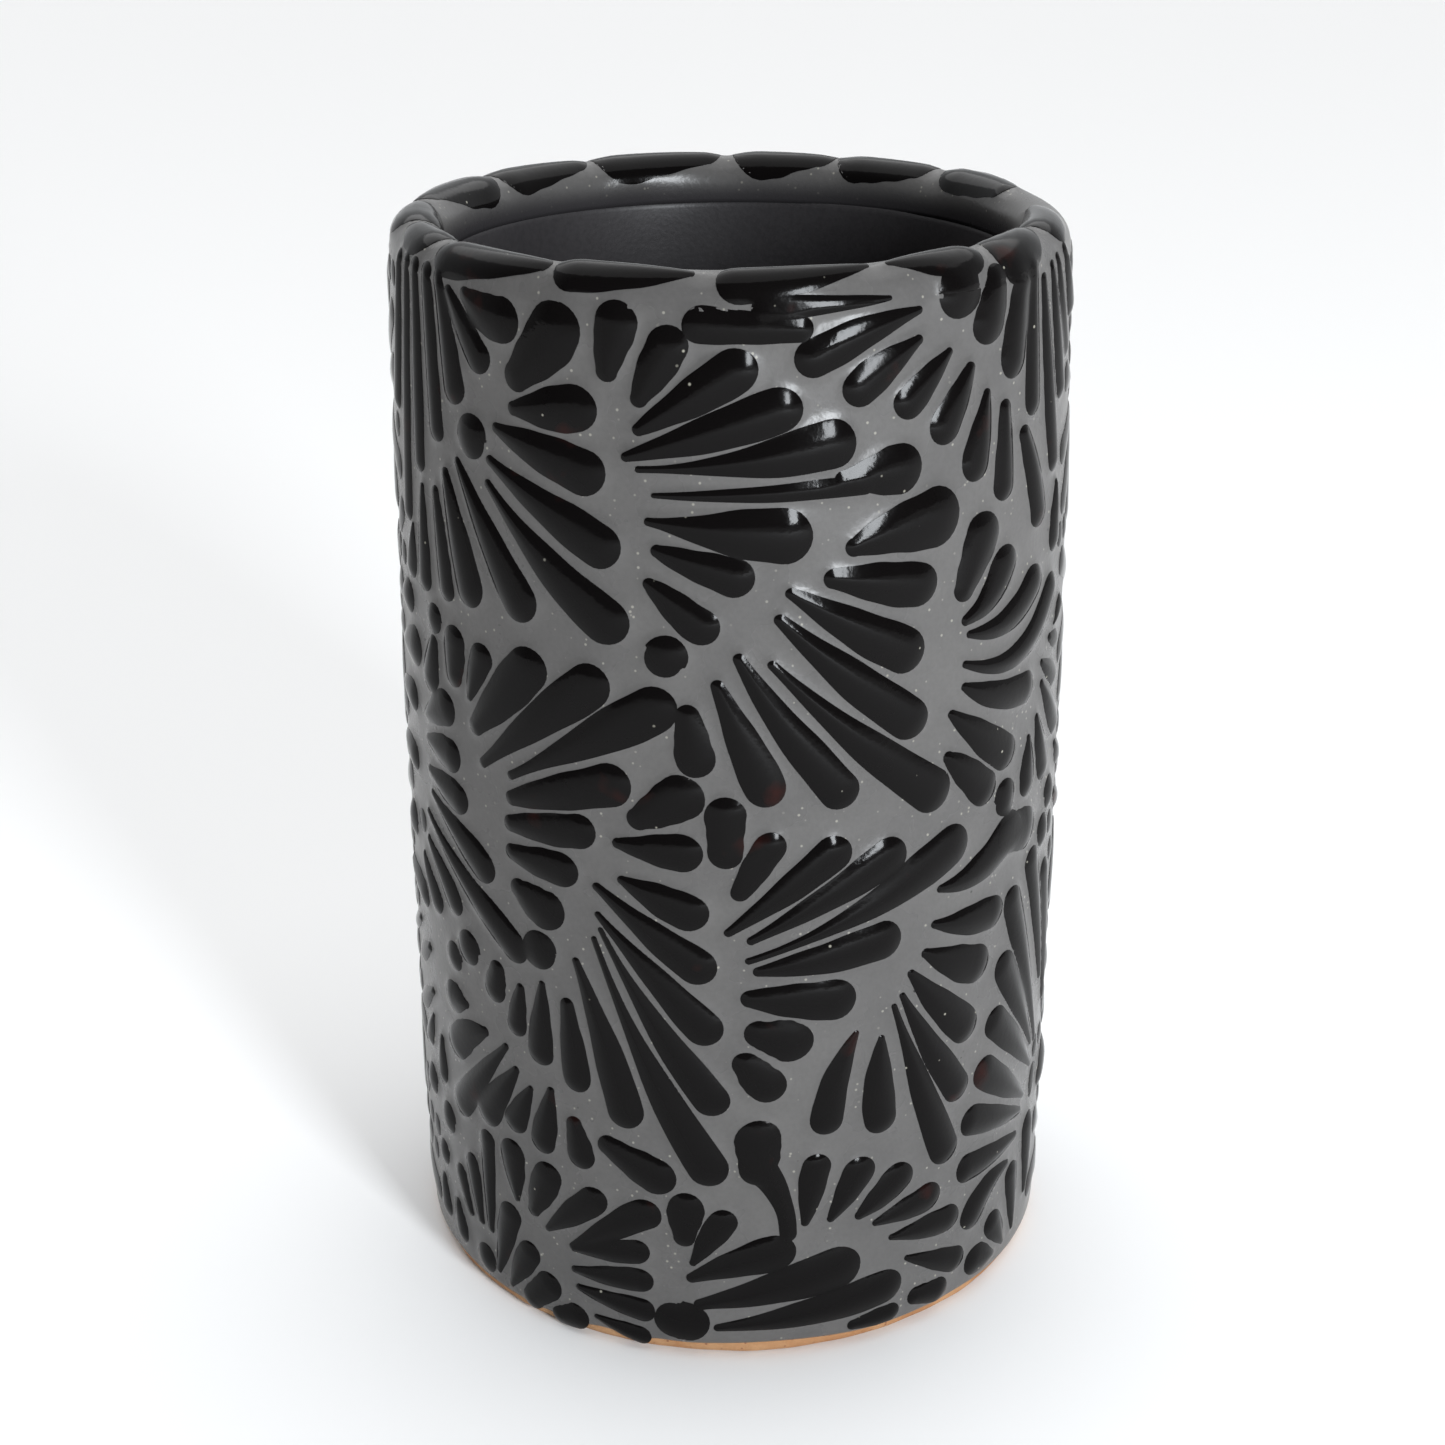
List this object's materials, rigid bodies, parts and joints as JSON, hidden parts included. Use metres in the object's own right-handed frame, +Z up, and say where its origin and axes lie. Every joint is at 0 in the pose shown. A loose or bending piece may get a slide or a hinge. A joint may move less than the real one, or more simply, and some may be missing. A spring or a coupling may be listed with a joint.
{
  "type": "pottery vase",
  "caption": "Straight handmade pottery vase: clay body, grey glazed outside, dark glazed inside, with raised black glaze petals and dots on the wall and over the lip.",
  "frame": {"origin": "centre of the foot, on the surface that the vase stands on", "axes": "+Z up along the vase's axis; -Y towards the viewer of the decorated front, +X to the viewer's right"},
  "size_m": [0.093, 0.0951, 0.1513],
  "materials": {
    "terracotta": "unglazed fired clay, matt",
    "grey_glaze": "satin gloss glaze with fine pale specks",
    "dark_glaze": "smooth satin glaze",
    "black_glaze": "thick glossy glaze in relief"
  },
  "bodies": {
    "root": {"clay_body": "terracotta", "outer_glaze": "grey_glaze", "liner_glaze": "dark_glaze", "back_belly_left_petal_1": "black_glaze", "back_belly_left_petal_2": "black_glaze", "back_belly_left_petal_3": "black_glaze", "back_belly_left_petal_4": "black_glaze", "back_shoulder_left_petal_1": "black_glaze", "back_shoulder_left_petal_2": "black_glaze", "back_shoulder_left_petal_3": "black_glaze", "back_waist_left_petal_1": "black_glaze", "back_waist_left_petal_2": "black_glaze", "back_waist_left_petal_3": "black_glaze", "back_waist_right_petal_1": "black_glaze", "back_waist_right_petal_2": "black_glaze", "back_waist_right_petal_3": "black_glaze", "back_waist_right_petal_4": "black_glaze", "belly_left_petal_1": "black_glaze", "belly_left_petal_2": "black_glaze", "belly_left_petal_3": "black_glaze", "belly_left_petal_4": "black_glaze", "belly_mid_petal_1": "black_glaze", "belly_mid_petal_2": "black_glaze", "belly_mid_petal_3": "black_glaze", "belly_right_petal_1": "black_glaze", "belly_right_petal_2": "black_glaze", "foot_dot": "black_glaze", "foot_petal_1": "black_glaze", "foot_petal_2": "black_glaze", "rim_stroke_01": "black_glaze", "rim_stroke_02": "black_glaze", "rim_stroke_03": "black_glaze", "rim_stroke_04": "black_glaze", "rim_stroke_05": "black_glaze", "rim_stroke_06": "black_glaze", "rim_stroke_07": "black_glaze", "rim_stroke_08": "black_glaze", "rim_stroke_09": "black_glaze", "rim_stroke_10": "black_glaze", "rim_stroke_11": "black_glaze", "rim_stroke_12": "black_glaze", "rim_stroke_13": "black_glaze", "rim_stroke_14": "black_glaze", "shoulder_dot": "black_glaze", "shoulder_left_petal_1": "black_glaze", "shoulder_left_petal_2": "black_glaze", "shoulder_left_petal_3": "black_glaze", "shoulder_mid_petal_1": "black_glaze", "shoulder_mid_petal_2": "black_glaze", "shoulder_mid_petal_3": "black_glaze", "waist_dot": "black_glaze", "waist_left_petal_1": "black_glaze", "waist_left_petal_2": "black_glaze", "waist_left_petal_3": "black_glaze", "waist_right_petal_1": "black_glaze", "waist_right_petal_2": "black_glaze", "waist_right_petal_3": "black_glaze", "waist_right_petal_4": "black_glaze"}
  },
  "joints": []
}
